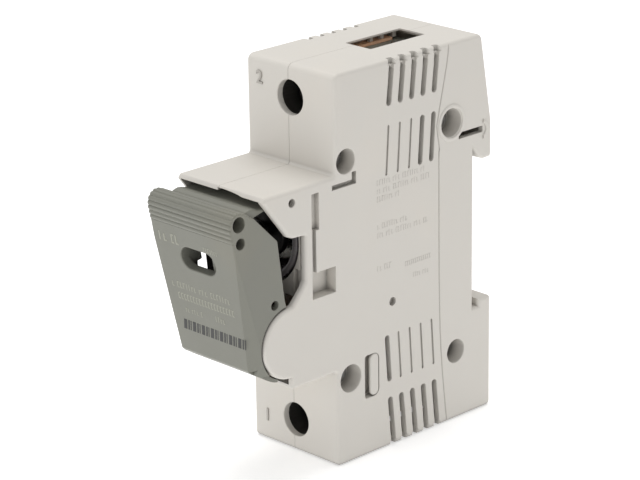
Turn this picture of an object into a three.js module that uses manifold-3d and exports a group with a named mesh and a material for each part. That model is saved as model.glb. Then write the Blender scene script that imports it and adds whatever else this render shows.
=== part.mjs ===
// Modular cartridge fuse holder (one pole, 27 mm wide, DIN-rail mounted) with a tilting lever.
// Millimetres. X across the width, -Y out of the front, +Z up. The origin is the middle of the
// flat face that seats on the DIN rail. Inside, every dimension is taken from two datums:
// y = 0 is the front face of the terminal blocks and z = 0 the bottom of the housing.
import * as THREE from 'three';
import Module from 'manifold-3d';
import { mergeVertices } from 'three/addons/utils/BufferGeometryUtils.js';
import { ConvexGeometry } from 'three/addons/geometries/ConvexGeometry.js';

// ---------------------------------------------------------------- driving dimensions
const WIDTH = 27;                 // one and a half 17.5 mm modules
const HALF = WIDTH / 2;
const HEIGHT = 90;
const RAIL_Y = 44;                // shoulder to rail seat
const BACK_Y = 50;
const WALL_X = 12.1;              // inner face of each side wall
const SEAM_R = -0.35;             // parting faces of the two shells
const SEAM_L = -0.65;
const NOSE_BOTTOM = 22.5;
const NOSE_TOP = 67.5;            // 45 mm nose
const HOOD_FRONT = -20.6;
const RAIL_LOW = 27.25;           // 35.5 mm rail opening
const RAIL_HIGH = 62.75;
const GAP = 0.3;

const PIVOT = { y: -13.5, z: 33.2 };
const EAR_R = 8.15;
const REST_OPEN = THREE.MathUtils.degToRad(6.2);   // the lever stands this far open

const FUSE = { z: 54, bodyR: 7.65, front: -4.3, bodyFront: -2.0, bodyBack: 26, back: 31.7, capR: 7.1, footR: 5.0 };
const SOCKET = { front: -9, rIn: 8.2, rOut: 10.6, grooveR: 11.2, boreR: 10.9, back: 17.7 };

const SCREW_Z = { upper: 82.5, lower: 7.5 };
const SCREW_HOLE_R = 3.95;
const BUS_Y = [23.5, 25.5];
const BUS_X = 4.2;
const CAGE = { x: 6, y0: 17, y1: 39.2, dz: 4.75, wall: 1.6 };
const CABLE = { x0: -3.4, x1: 4.4, y0: 20.4, y1: 37.7 };

const RIVETS = {
  upper_front: { y: 3.3, z: 70.2, r: 2.8, boss: 4.3 },
  upper_rear: { y: 36.6, z: 71.5, r: 3.25, boss: 4.6 },
  lower_front: { y: 4.2, z: 19.9, r: 3.2, boss: 4.6 },
  lower_rear: { y: 38.15, z: 16.65, r: 2.8, boss: 4.2 },
};
const SLEEVE = { rOut: 5.2, rIn: 4.3, y0: 1.9, y1: 9.2 };
const CLIP = { x: 7.2, y0: 44.8, y1: 47.9, z0: 0.5, z1: 27.0 };

// ---------------------------------------------------------------- solid helpers
const wasm = await Module();
wasm.setup();

function solid(geometry) {
  const g = geometry.index ? geometry.toNonIndexed() : geometry.clone();
  for (const name of Object.keys(g.attributes)) if (name !== 'position') g.deleteAttribute(name);
  const m = mergeVertices(g, 1e-4);
  return new wasm.Manifold(new wasm.Mesh({
    numProp: 3,
    vertProperties: new Float32Array(m.attributes.position.array),
    triVerts: new Uint32Array(m.index.array),
  }));
}
function geometryOf(manifold) {
  const mesh = manifold.getMesh();
  const g = new THREE.BufferGeometry();
  const p = new Float32Array(mesh.triVerts.length * 3);
  for (let i = 0; i < mesh.triVerts.length; i++) {
    const v = mesh.triVerts[i] * mesh.numProp;
    p[3 * i] = mesh.vertProperties[v];
    p[3 * i + 1] = mesh.vertProperties[v + 1];
    p[3 * i + 2] = mesh.vertProperties[v + 2];
  }
  g.setAttribute('position', new THREE.BufferAttribute(p, 3));
  g.computeVertexNormals();
  return g;
}
// A corner written [a, b, r] is rounded with radius r.
function outline(points) {
  const out = [];
  const n = points.length;
  points.forEach((pt, i) => {
    const r = pt[2] || 0;
    if (!r) { out.push(new THREE.Vector2(pt[0], pt[1])); return; }
    const a = points[(i + n - 1) % n], c = points[(i + 1) % n];
    const v = new THREE.Vector2(pt[0], pt[1]);
    const d1 = new THREE.Vector2(a[0], a[1]).sub(v).normalize();
    const d2 = new THREE.Vector2(c[0], c[1]).sub(v).normalize();
    const half = Math.acos(THREE.MathUtils.clamp(d1.dot(d2), -1, 1)) / 2;
    const t = r / Math.tan(half);
    const centre = v.clone().add(d1.clone().add(d2).normalize().multiplyScalar(r / Math.sin(half)));
    const s = v.clone().add(d1.clone().multiplyScalar(t)).sub(centre);
    const e = v.clone().add(d2.clone().multiplyScalar(t)).sub(centre);
    const a0 = Math.atan2(s.y, s.x);
    let da = Math.atan2(e.y, e.x) - a0;
    while (da > Math.PI) da -= 2 * Math.PI;
    while (da < -Math.PI) da += 2 * Math.PI;
    for (let k = 0; k <= 4; k++) out.push(new THREE.Vector2(centre.x + r * Math.cos(a0 + da * k / 4), centre.y + r * Math.sin(a0 + da * k / 4)));
  });
  return out;
}
const extrude = (points, depth) => new THREE.ExtrudeGeometry(new THREE.Shape(outline(points)), { depth, bevelEnabled: false, steps: 1 });
function prismX(points, x0, x1) {            // outline in (y, z), along X
  const g = extrude(points, x1 - x0);
  g.applyMatrix4(new THREE.Matrix4().set(0, 0, 1, x0, 1, 0, 0, 0, 0, 1, 0, 0, 0, 0, 0, 1));
  return solid(g);
}
function prismY(points, y0, y1) {            // outline in (x, z), along Y
  const g = extrude(points, y1 - y0);
  g.applyMatrix4(new THREE.Matrix4().set(1, 0, 0, 0, 0, 0, -1, y1, 0, 1, 0, 0, 0, 0, 0, 1));
  return solid(g);
}
const box = (x0, x1, y0, y1, z0, z1) => solid(new THREE.BoxGeometry(x1 - x0, y1 - y0, z1 - z0).translate((x0 + x1) / 2, (y0 + y1) / 2, (z0 + z1) / 2));
const cylX = (y, z, r, x0, x1, n = 24) => solid(new THREE.CylinderGeometry(r, r, x1 - x0, n).rotateZ(-Math.PI / 2).translate((x0 + x1) / 2, y, z));
const cylY = (x, z, r, y0, y1, n = 24) => solid(new THREE.CylinderGeometry(r, r, y1 - y0, n).translate(x, (y0 + y1) / 2, z));
const arc = (R, from, to, n) => Array.from({ length: n + 1 }, (_, i) => {
  const a = THREE.MathUtils.degToRad(from + (to - from) * i / n);
  return [PIVOT.y + R * Math.cos(a), PIVOT.z + R * Math.sin(a)];
});
const turn = (m, deg) => m.translate([0, -PIVOT.y, -PIVOT.z]).rotate([deg, 0, 0]).translate([0, PIVOT.y, PIVOT.z]);

// ---------------------------------------------------------------- materials
const mat = (color, roughness, metalness = 0) => new THREE.MeshStandardMaterial({ color, roughness, metalness });
const M = {
  shell: () => mat(0xd4d0c8, 0.55),
  lever: () => mat(0x8c8c82, 0.5),
  black: () => mat(0x232326, 0.45),
  base: () => mat(0x5c5b59, 0.45),
  dark: () => mat(0x3a3a3f, 0.35),
  copper: () => mat(0xb8734a, 0.35, 1),
  brass: () => mat(0xc2a15a, 0.35, 1),
  silver: () => mat(0xc9c8c4, 0.3, 1),
  steel: () => mat(0x9a9b9c, 0.38, 1),
  zinc: () => mat(0xa9a8a0, 0.42, 1),
  ceramic: () => mat(0xeee9dc, 0.3),
  red: () => mat(0xa83226, 0.5),
  clip: () => mat(0x57575a, 0.5),
};

// ---------------------------------------------------------------- housing shells
const SIDE = [
  [0, 0, 1.2], [0, NOSE_BOTTOM, 0.4], [-13.5, NOSE_BOTTOM, 0.3], [-13.5, PIVOT.z - EAR_R],
  ...arc(EAR_R, 264, 98, 18),
  [-13.1, 41.5], [-10.2, 44.6], [-9.1, 46.3], [-9.0, 56.4], [-12.5, 56.6], [-14.1, 57.3],
  [-21.3, 66.5], [HOOD_FRONT, NOSE_TOP], [0, NOSE_TOP, 0.5], [0, HEIGHT, 1.8], [46.6, HEIGHT, 1.8],
  [BACK_Y, 69.3], [BACK_Y, 60.65, 0.5], [47.4, 60.6], [45.7, 61.3], [43.9, 63.4], [43.6, 63.4], [43.6, 60.2], [RAIL_Y, 60.2],
  [RAIL_Y, 27.4], [43.9, 27.4], [43.9, 25.5], [45.8, 25.5], [45.8, RAIL_LOW], [BACK_Y, RAIL_LOW, 0.6], [BACK_Y, 0, 1.2],
];
const CAVITY = [
  [1.6, 1.5], [1.6, 24.0], [-8, 24.0], [-8, 23.3], [-32, 23.3], [-32, 66.6], [-17, 66.6], [-17, 66.0],
  [1.6, 66.0], [1.6, 88.5], [45.1, 88.5], [48.4, 69.0], [48.4, 65.0], [42.4, 65.0], [42.4, 1.5],
];
// Louvres: five columns in four rows, [y at the low end, z, y at the high end, z]; "wide" ones go through.
const ROWS = [
  { z0: 79.7, z1: 90.6, a: 16.7, b: 17.75, wide: [0, 1, 2, 3, 4] },
  { z0: 64.1, z1: 75.4, a: 15.75, b: 16.5, wide: [3, 4] },
  { z0: 15.6, z1: 26.8, a: 16.4, b: 15.7, wide: [0] },
  { z0: -0.6, z1: 11.8, a: 17.65, b: 16.6, wide: [0, 1, 2, 3, 4] },
];
const PITCH = 3.58;

function shell(seam, clipLug) {
  let s = prismX(SIDE, seam, HALF);
  s = s.subtract(prismX(CAVITY, seam - 2, WALL_X));
  // terminal chamber floors and the clip channel
  const floors = box(seam, WALL_X + 0.2, 1.4, 48.6, 72.8, 74.2)
    .add(box(seam, WALL_X + 0.2, 1.4, 32, 17.0, 18.4))
    .subtract(box(seam - 1, BUS_X + 0.5, BUS_Y[0] - 0.7, BUS_Y[1] + 0.7, 16, 75));
  s = s.add(floors.intersect(prismX([[0.6, 0.6], [0.6, 89], [45.6, 89], [49, 69], [49, 60], [42.8, 60], [42.8, 0.6]], seam, HALF)));
  s = s.subtract(box(seam - 1, 7.6, 44.5, 48.3, -1, 28));
  if (clipLug) s = s.add(box(seam, 1.8, 44.2, 47.5, 11.8, 13.0));
  // screw holes in the front wall
  for (const z of Object.values(SCREW_Z)) s = s.subtract(cylY(0, z, SCREW_HOLE_R, -1, 3, 32));
  // rivet bosses with their deep recesses
  for (const b of Object.values(RIVETS)) {
    const inner = prismX([[0.6, 0.6], [0.6, 89], [45.6, 89], [48.9, 69], [48.9, 63.9], [43, 63.9], [43, 0.6]], 7.5, WALL_X + 0.4);
    s = s.add(cylX(b.y, b.z, b.boss, 7.5, WALL_X + 0.4).intersect(inner));
    s = s.subtract(cylX(b.y, b.z, b.r, 9, HALF + 1)).subtract(cylX(b.y, b.z, 1.3, 7, 10, 12));
  }
  // pivot boss on the ear
  s = s.add(cylX(PIVOT.y, PIVOT.z, 3.0, 11.7, WALL_X + 0.2)).subtract(cylX(PIVOT.y, PIVOT.z, 1.8, 11, 12.8, 16));
  // cable windows, top and bottom
  const cx0 = seam === SEAM_R ? seam - 1 : seam - 1;
  const cx1 = seam === SEAM_R ? CABLE.x1 : -CABLE.x0;
  s = s.subtract(box(cx0, cx1, CABLE.y0, CABLE.y1, 87, 91)).subtract(box(cx0, cx1, CABLE.y0, CABLE.y1, -1, 3));
  // oblong pocket for the coupling plug
  s = s.add(box(10.6, WALL_X + 0.2, 7.4, 14.4, 12.4, 25.0));
  s = s.subtract(prismX([[8.6, 13.6, 0.5], [13.1, 13.6, 0.5], [13.1, 23.8, 0.5], [8.6, 23.8, 0.5]], 11.6, HALF + 1));
  // louvres
  for (const row of ROWS) {
    for (let c = 0; c < 5; c++) {
      const w = row.wide.includes(c) ? 0.65 : 0.25;
      const lo = row.a + c * PITCH, hi = row.b + c * PITCH;
      s = s.subtract(prismX([[lo - w, row.z0], [lo + w, row.z0], [hi + w, row.z1], [hi - w, row.z1]], w > 0.5 ? WALL_X - 0.3 : HALF - 0.7, HALF + 1));
    }
  }
  // slots and holes of the nose wall
  s = s.add(box(11.9, WALL_X + 0.2, -7.9, -4.1, 56.0, 66.2)).add(box(9.9, WALL_X + 0.2, -7.7, 0.5, 40.8, 47.9));
  s = s.subtract(box(12.2, HALF + 1, -7.1, -4.9, 56.9, 65.2));
  s = s.subtract(box(HALF - 0.8, HALF + 1, -7.0, -5.9, 47.3, 57));
  s = s.subtract(prismX([[-7.1, 41.4], [-0.1, 41.4], [-0.1, 47.3], [-7.1, 47.3]], 10.5, HALF + 1));
  s = s.subtract(box(HALF - 0.8, HALF + 1, -0.9, 6.4, 64.5, 66)).subtract(box(HALF - 0.8, HALF + 1, 5.1, 6.5, 65.9, 67.3));
  s = s.subtract(cylX(17.5, 34.4, 1.0, HALF - 1.0, HALF + 1, 12)).subtract(cylX(-12.84, 64.69, 0.95, WALL_X - 0.5, HALF + 1, 12));
  s = s.subtract(box(HALF - 1.0, HALF + 1, 39, 46.9, 67.15, 68.6));
  return s;
}

// ---------------------------------------------------------------- lever
const frontY = (z) => -30.2 + (63 - z) * 0.1851;
function lever() {
  const H = [
    [frontY(61.2), 61.2], [-30.2, 63.0], [-29.95, 64.3], [-29.3, 65.3], [-28.3, 65.75], [-27.2, 65.7], [-26.0, 65.3], [-23.9, 64.0], [-23.2, 63.6],
    [-16.7, 57.1, 0.8], [-14.8, 43.0], ...arc(EAR_R + GAP, 96, 250, 16),
    ...[[250, 9.1], [243, 9.25], [236.3, 9.37], [223.7, 9.69], [212, 10.4]].map(([a, r]) => arc(r, a, a, 1)[0]),
    [-23.85, 28.7],
  ];
  let s = prismX(H, -13, 13);
  // hollow, open to the rear
  const hollow = [
    [frontY(60.8) + 2.1, 60.8], [-24.6, 62.2], [-17.0, 57.9], [-5, 57.9], [-5, 20], [-12, 20],
    ...arc(EAR_R + GAP, 251, 186, 9), [frontY(36) + 2.1, 36],
  ];
  s = s.subtract(prismX(hollow, -11.8, 11.8));
  // finger shield that slides under the hood
  s = s.add(prismX([
    [-26.4, 63.6], [-24.3, 65.0], [-23.2, 65.3], [-22.2, 65.2], [-21.0, 64.85], [-19.5, 64.94], [-17.5, 65.25], [-15.2, 65.45],
    [-15.2, 64.25], [-17.5, 64.04], [-19.5, 63.72], [-21.5, 63.25], [-23.0, 62.6], [-24.2, 62.3], [-26.6, 61.8],
  ], -11.5, 11.5));
  // inner arms that turn on the pivot pin
  for (const k of [-1, 1]) {
    const x0 = k < 0 ? -11.3 : 9.2, x1 = k < 0 ? -9.2 : 11.3;
    s = s.add(cylX(PIVOT.y, PIVOT.z, 6.6, x0, x1)).add(prismX([[frontY(41) + 0.8, 41], [frontY(30.5) + 0.8, 30.5], [-13.5, 28.5], [-13.5, 41]], x0, x1));
  }
  s = s.subtract(cylX(PIVOT.y, PIVOT.z, 1.8, -14, 14, 16));
  // the lower tail is narrower so that it can pass inside the side walls
  for (const k of [-1, 1]) {
    const x0 = k < 0 ? -15 : 11.8, x1 = k < 0 ? -11.8 : 15;
    s = s.subtract(prismX([[-21.2, 27.2], [-19.8, 20], [-8, 20], [-8, 27.2]], x0, x1).intersect(cylX(PIVOT.y, PIVOT.z, 13, x0, x1, 32)));
    // front edge chamfer, widening downwards
    const y57 = frontY(57), y27 = frontY(27);
    s = s.subtract(solid(new ConvexGeometry([
      [13.001, y57, 57], [11.0, y27, 27], [13.001, y27 + 2.6, 27], [16, y27 + 2.6, 27], [16, y57, 57],
      [11.0, y27 - 3, 27], [16, y27 - 3, 27], [13.001, y57 - 3, 57], [16, y57 - 3, 57],
    ].map((p) => new THREE.Vector3(k * p[0], p[1], p[2])))));
  }
  // rounded lower corners of the front plate
  for (const k of [-1, 1]) {
    const corner = box(10.5, 14, -32, -21.5, 26, 31.2).subtract(cylY(10.5, 31.2, 2.5, -33, -20, 32));
    s = s.subtract(k > 0 ? corner : corner.mirror([1, 0, 0]));
  }
  // indicator window and side core holes
  const wz = 52.5, wx = 0.5, hw = 5.4, hh = 2.6;
  const stadium = [[wx - hw, wz - hh, hh - 0.05], [wx + hw, wz - hh, hh - 0.05], [wx + hw, wz + hh, hh - 0.05], [wx - hw, wz + hh, hh - 0.05]];
  s = s.subtract(prismY(stadium, -34, -22));
  for (const k of [-1, 1]) {
    const lo = (d) => (k < 0 ? -14 : 13 - d), hi = (d) => (k < 0 ? -13 + d : 14);
    s = s.subtract(cylX(-27.7, 63.4, 1.65, lo(8), hi(8), 20)).subtract(cylX(-27.35, 59.1, 1.25, lo(3), hi(3), 16)).subtract(cylX(-17.9, 42.9, 1.05, lo(3), hi(3), 16));
  }
  return s;
}

// ---------------------------------------------------------------- coil springs
class Helix extends THREE.Curve {
  constructor(radius, length, turns) { super(); Object.assign(this, { radius, length, turns }); }
  getPoint(t, target = new THREE.Vector3()) {
    const a = 2 * Math.PI * this.turns * t;
    return target.set(this.radius * Math.cos(a), this.radius * Math.sin(a), this.length * t);
  }
}
function coil(radius, wire, length, turns, axis) {
  const section = new THREE.Shape(Array.from({ length: 6 }, (_, i) => new THREE.Vector2(wire * Math.cos(i * Math.PI / 3), wire * Math.sin(i * Math.PI / 3))));
  const g = new THREE.ExtrudeGeometry(section, { steps: Math.round(turns * 14), bevelEnabled: false, extrudePath: new Helix(radius, length, turns) });
  if (axis === 'x') g.rotateY(Math.PI / 2);
  if (axis === 'y') g.rotateX(-Math.PI / 2);
  return solid(g);
}

// ---------------------------------------------------------------- assembly
const root = new THREE.Group();
root.position.set(0, -RAIL_Y, -HEIGHT / 2);
function node(name, manifold, material, parent = root) {
  const mesh = new THREE.Mesh(geometryOf(manifold), material);
  mesh.name = name;
  parent.add(mesh);
  return mesh;
}

node('housing_right_shell', shell(SEAM_R, true), M.shell());
node('housing_left_shell', shell(-SEAM_L, false).mirror([1, 0, 0]), M.shell());

// black base around the cartridge, with the socket ring in it
{
  const z = FUSE.z;
  let base = box(-11.6, 11.6, SOCKET.front, 31, 41.6, 65.6);
  base = base.subtract(cylY(0, z, SOCKET.grooveR, SOCKET.front - 1, -5, 40)).subtract(cylY(0, z, SOCKET.boreR, -5.1, 18, 40));
  base = base.subtract(cylY(0, z, 8.1, 17.9, 26.2, 32)).subtract(cylY(0, z, 8.9, 26.1, 29.5, 32)).subtract(cylY(0, z, 5.6, 29.4, 32, 24));
  base = base.subtract(box(-1.5, 1.5, SOCKET.front - 1, -1, 41, 47));
  for (const k of [-1, 1]) base = base.subtract(box(k < 0 ? -14 : 9.6, k < 0 ? -9.6 : 14, SOCKET.front - 1, 0.8, 41, 48.2));
  node('fuse_base', base, M.base());
  let ring = cylY(0, z, SOCKET.rOut, SOCKET.front, SOCKET.back, 40).subtract(cylY(0, z, SOCKET.rIn, SOCKET.front - 1, SOCKET.back + 1, 40));
  ring = ring.subtract(box(-1.4, 1.4, SOCKET.front - 1, -0.5, 41, 48));
  node('socket_ring', ring, M.dark());
  node('gauge_ring', cylY(0, z, 8.6, 26.5, 29.2, 32).subtract(cylY(0, z, 5.4, 26, 30, 24)), M.red());
  node('fuse_body', cylY(0, z, FUSE.bodyR, FUSE.bodyFront, FUSE.bodyBack, 32), M.ceramic());
  node('fuse_front_cap', cylY(0, z, FUSE.capR, FUSE.front, FUSE.bodyFront - GAP, 32).subtract(cylY(0, z, 1.8, FUSE.front - 1, FUSE.bodyFront, 16)), M.silver());
  node('fuse_indicator', cylY(0, z, 1.4, FUSE.front + 0.2, FUSE.bodyFront - GAP, 16), M.red());
  node('fuse_rear_cap', cylY(0, z, FUSE.footR, FUSE.bodyBack + GAP, FUSE.back, 24), M.silver());
  node('rear_contact', box(-BUS_X, BUS_X, 32.0, 33.2, z - 5, z + 5), M.silver());
  node('rear_contact_spring', coil(2.8, 0.45, 2.1, 1.6, 'y').translate([0, 33.95, z]), M.steel());
}

// conductors
node('upper_busbar', prismX([[36.8, 48], [38.4, 48], [38.4, 69.2], [BUS_Y[1], 69.2], [BUS_Y[1], 88], [BUS_Y[0], 88], [BUS_Y[0], 67.6], [36.8, 67.6]], -BUS_X, BUS_X)
  .add(box(-6.9, -BUS_X + 0.1, BUS_Y[0], 36, 87.55, 88.2)), M.copper());   // with a side lug over the cage
node('lower_busbar', prismX([[-8.5, 24.6], [BUS_Y[0], 24.6], [BUS_Y[0], 2], [BUS_Y[1], 2], [BUS_Y[1], 26.2], [-8.5, 26.2]], -BUS_X, BUS_X), M.copper());
node('fixed_jaw_contact', box(-2.3, 2.3, -8, -3, 26.5, 33.4).subtract(box(-1.05, 1.05, -9, -2, 27.9, 34)), M.silver());

// clamps
for (const [side, zc] of Object.entries(SCREW_Z)) {
  let screw = cylY(0, zc, 3.5, 6, 9, 28).add(cylY(0, zc, 2.2, 8.9, 23.2, 20));
  screw = screw.subtract(box(-0.45, 0.45, 5, 7.6, zc - 2.6, zc + 2.6)).subtract(box(-2.6, 2.6, 5, 7.6, zc - 0.45, zc + 0.45));
  node(`${side}_clamp_screw`, screw, M.zinc());
  node(`${side}_screw_sleeve`, cylY(0, zc, SLEEVE.rOut, SLEEVE.y0, SLEEVE.y1, 32).subtract(cylY(0, zc, SLEEVE.rIn, SLEEVE.y0 - 1, SLEEVE.y1 + 1, 32)), M.black());
  const c = CAGE;
  const cage = box(-c.x, c.x, c.y0, c.y1, zc - c.dz, zc + c.dz)
    .subtract(box(-c.x + 1.3, c.x - 1.3, c.y0 + 2, c.y1 - c.wall, zc - c.dz - 1, zc + c.dz + 1))
    .subtract(cylY(0, zc, 2.5, c.y0 - 1, c.y0 + 3, 20));
  node(`${side}_clamp_cage`, cage, M.steel());
  node(`${side}_clamp_plate`, box(-4.4, 4.4, 36.3, 37.3, zc - 4.5, zc + 4.5), M.zinc());
}

// rivets that hold the shells together
for (const [where, b] of Object.entries(RIVETS)) {
  node(`rivet_${where}`, cylX(b.y, b.z, 1.0, -9.6, 9.6, 12).add(cylX(b.y, b.z, 2.2, 9.3, 10.4, 16)).add(cylX(b.y, b.z, 2.2, -10.4, -9.3, 16)), M.steel());
}
node('coupling_plug_right', prismX([[10.2, 14.1, 0.9], [12.8, 14.1, 0.9], [12.8, 23.3, 0.9], [10.2, 23.3, 0.9]], 11.9, 13.2), M.shell());
node('coupling_plug_left', prismX([[10.2, 14.1, 0.9], [12.8, 14.1, 0.9], [12.8, 23.3, 0.9], [10.2, 23.3, 0.9]], -13.2, -11.9), M.shell());

// rail clip and its spring
{
  const c = CLIP;
  let clip = prismX([[c.y0, c.z0], [c.y1, c.z0], [c.y1, c.z1 - 0.8], [c.y1 - 0.7, c.z1], [45.9, c.z1], [45.9, 24.6], [c.y0, 24.6]], -c.x, c.x);
  clip = clip.subtract(box(-2.3, 2.3, c.y0 - 1, c.y1 + 1, 9, 20)).subtract(box(-3, 3, 47, 49, 2.4, 5.2));
  node('din_clip', clip, M.clip());
  node('din_clip_spring', coil(1.15, 0.28, 5.2, 5, 'z').translate([0.3, 46.35, 13.7]), M.steel());
}

// lever with its pivot pin, detent spring and contacts
node('lever_pivot_pin', cylX(PIVOT.y, PIVOT.z, 1.5, -12.5, 12.5, 20), M.steel());
node('lever_torsion_spring', coil(2.35, 0.3, 4.4, 5, 'x').translate([3, PIVOT.y, PIVOT.z]), M.steel());
node('handle_lever', lever(), M.lever());

// These pieces are drawn with the lever shut and turned with it to where it stands.
const openDeg = THREE.MathUtils.radToDeg(REST_OPEN);
const swung = (m) => turn(m, openDeg);
node('contact_carrier', swung(prismX([[-17.5, 44.5], [-14.8, 44.5], [-14.8, 56.4], [-15.5, 57.2], [-17.5, 57.2]], -6, 6)
  .subtract(cylY(0, FUSE.z, 2.3, -19, -13, 20)).subtract(box(-1.05, 1.05, -19, -13, 43, 49))), M.black());
node('lever_contact_cap', swung(cylY(0, FUSE.z, 6.3, -6.6, -4.6, 32).add(cylY(0, FUSE.z, 1.9, -19.6, -6.5, 20)).subtract(cylY(0, FUSE.z, 1.1, -21, -3, 12))), M.silver());
node('lever_contact_spring', swung(coil(3.1, 0.4, 6.6, 3.5, 'y').translate([0, -14.0, FUSE.z])), M.steel());
node('moving_contact_blade', swung(prismX([[-15.5, 48.7], [-13.0, 48.7], [-11.2, 40.0], [-6.5, 37.0], [-3.0, 35.5], [-3.0, 29.2], [-8.0, 29.2], [-10.6, 30.8], [-10.9, 36.4], [-13.4, 39.0]], -0.75, 0.75)), M.silver());

export default root;
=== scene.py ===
import math
import bmesh
import bpy
import numpy as np
from mathutils import Matrix, Vector


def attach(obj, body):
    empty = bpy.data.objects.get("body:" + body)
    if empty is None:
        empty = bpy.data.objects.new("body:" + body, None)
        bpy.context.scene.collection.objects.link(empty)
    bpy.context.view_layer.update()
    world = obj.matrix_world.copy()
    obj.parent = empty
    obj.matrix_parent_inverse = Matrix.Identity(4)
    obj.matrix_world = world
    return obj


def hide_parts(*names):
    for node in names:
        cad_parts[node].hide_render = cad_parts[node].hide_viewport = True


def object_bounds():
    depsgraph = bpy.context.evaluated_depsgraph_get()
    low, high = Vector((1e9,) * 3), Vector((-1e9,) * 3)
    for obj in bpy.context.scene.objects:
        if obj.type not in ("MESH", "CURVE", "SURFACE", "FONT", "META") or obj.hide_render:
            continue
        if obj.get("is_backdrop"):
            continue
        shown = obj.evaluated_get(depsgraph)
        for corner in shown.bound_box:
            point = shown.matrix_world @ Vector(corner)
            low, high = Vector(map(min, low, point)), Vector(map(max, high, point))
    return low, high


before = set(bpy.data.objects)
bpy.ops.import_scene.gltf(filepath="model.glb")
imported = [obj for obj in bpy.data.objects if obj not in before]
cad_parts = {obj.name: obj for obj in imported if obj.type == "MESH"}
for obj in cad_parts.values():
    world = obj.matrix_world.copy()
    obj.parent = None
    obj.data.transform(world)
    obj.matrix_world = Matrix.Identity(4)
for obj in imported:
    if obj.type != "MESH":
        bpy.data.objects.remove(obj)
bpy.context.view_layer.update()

# Every shape below is drawn in millimetres from the same two datums as the CAD: y = 0 is the front
# of the terminal blocks and z = 0 the bottom of the housing. TO_ROW takes that to the row frame.
TO_ROW = Matrix.Scale(0.001, 4) @ Matrix.Translation((0, -44, -45))

HALF = 13.5
HEIGHT = 90.0
WALL_X = 12.1
SEAM = -0.5
PIVOT = (-13.5, 33.2)
EAR_R = 8.15
FUSE_Z = 54.0
SCREW_Z = {"upper": 82.5, "lower": 7.5}
REST_OPEN = 6.2
RIVETS = {
    "upper_front": (3.3, 70.2, 2.8, 4.3),
    "upper_rear": (36.6, 71.5, 3.25, 4.6),
    "lower_front": (4.2, 19.9, 3.2, 4.6),
    "lower_rear": (38.15, 16.65, 2.8, 4.2),
}

scene = bpy.context.scene


# ------------------------------------------------------------------ mesh kit
def make(name, bm):
    bmesh.ops.recalc_face_normals(bm, faces=bm.faces)
    me = bpy.data.meshes.new(name)
    bm.to_mesh(me)
    bm.free()
    ob = bpy.data.objects.new(name, me)
    scene.collection.objects.link(ob)
    return ob


def outline(points, n=6, d=0.0):
    """A counter-clockwise outline. A corner written (a, b, r) is rounded with radius r. d moves every
    edge inwards, and takes d off the radius of each outer corner."""
    pts = [tuple(p) for p in points]
    area = sum(a[0] * b[1] - b[0] * a[1] for a, b in zip(pts, pts[1:] + pts[:1]))
    if area < 0:
        pts = pts[::-1]
    m = len(pts)
    flat = inset([p[:2] for p in pts], d)
    out = []
    for i, p in enumerate(pts):
        r = p[2] if len(p) > 2 else 0
        if not r:
            out.append(flat[i])
            continue
        v = Vector(flat[i])
        e1 = (Vector(pts[i - 1][:2]) - Vector(p[:2])).normalized()
        e2 = (Vector(pts[(i + 1) % m][:2]) - Vector(p[:2])).normalized()
        outer = e2.x * e1.y - e2.y * e1.x > 0
        r = max(r - d, 0.004) if outer else r + d
        half = math.acos(max(-1, min(1, e1.dot(e2)))) / 2
        c = v + (e1 + e2).normalized() * (r / math.sin(half))
        t = r / math.tan(half)
        s, e = v + e1 * t - c, v + e2 * t - c
        a0 = math.atan2(s.y, s.x)
        da = math.atan2(e.y, e.x) - a0
        while da > math.pi:
            da -= 2 * math.pi
        while da < -math.pi:
            da += 2 * math.pi
        for k in range(n + 1):
            a = a0 + da * k / n
            out.append((c.x + r * math.cos(a), c.y + r * math.sin(a)))
    return out


def inset(poly, d):
    """Moves each edge of a counter-clockwise outline inwards by d (outwards if d is negative)."""
    if abs(d) < 1e-9:
        return [tuple(p) for p in poly]
    out = []
    n = len(poly)
    for i in range(n):
        p, q, r = Vector(poly[i - 1]), Vector(poly[i]), Vector(poly[(i + 1) % n])
        e1, e2 = (q - p).normalized(), (r - q).normalized()
        n1, n2 = Vector((-e1.y, e1.x)), Vector((-e2.y, e2.x))
        v = (n1 + n2) * (d / max(1 + n1.dot(n2), 0.25))
        out.append((q.x + v.x, q.y + v.y))
    return out


AXES = {
    "x": lambda a, b, t: (t, a, b),
    "y": lambda a, b, t: (a, t, b),
    "z": lambda a, b, t: (a, b, t),
}


def rings(name, axis, levels):
    """A closed solid through rings of equal point count: levels is [(outline, position), ...]."""
    f = AXES[axis]
    bm = bmesh.new()
    rows = [[bm.verts.new(f(a, b, t)) for a, b in poly] for poly, t in levels]
    n = len(rows[0])
    for r0, r1 in zip(rows, rows[1:]):
        for i in range(n):
            j = (i + 1) % n
            bm.faces.new((r0[i], r0[j], r1[j], r1[i]))
    bm.faces.new(rows[0][::-1])
    bm.faces.new(rows[-1])
    return make(name, bm)


def prism(name, axis, points, lo, hi, r_lo=0.0, r_hi=0.0, seg=4, n=6):
    """An outline extruded along an axis, with its end edges rounded by r_lo and r_hi."""
    levels = []
    if r_lo:
        for k in range(seg + 1):
            a = math.pi / 2 * k / seg
            levels.append((outline(points, n, r_lo - r_lo * math.sin(a)), lo + r_lo - r_lo * math.cos(a)))
    else:
        levels.append((outline(points, n), lo))
    if r_hi:
        for k in range(seg + 1):
            a = math.pi / 2 * k / seg
            levels.append((outline(points, n, r_hi - r_hi * math.cos(a)), hi - r_hi + r_hi * math.sin(a)))
    else:
        levels.append((outline(points, n), hi))
    return rings(name, axis, levels)


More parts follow.
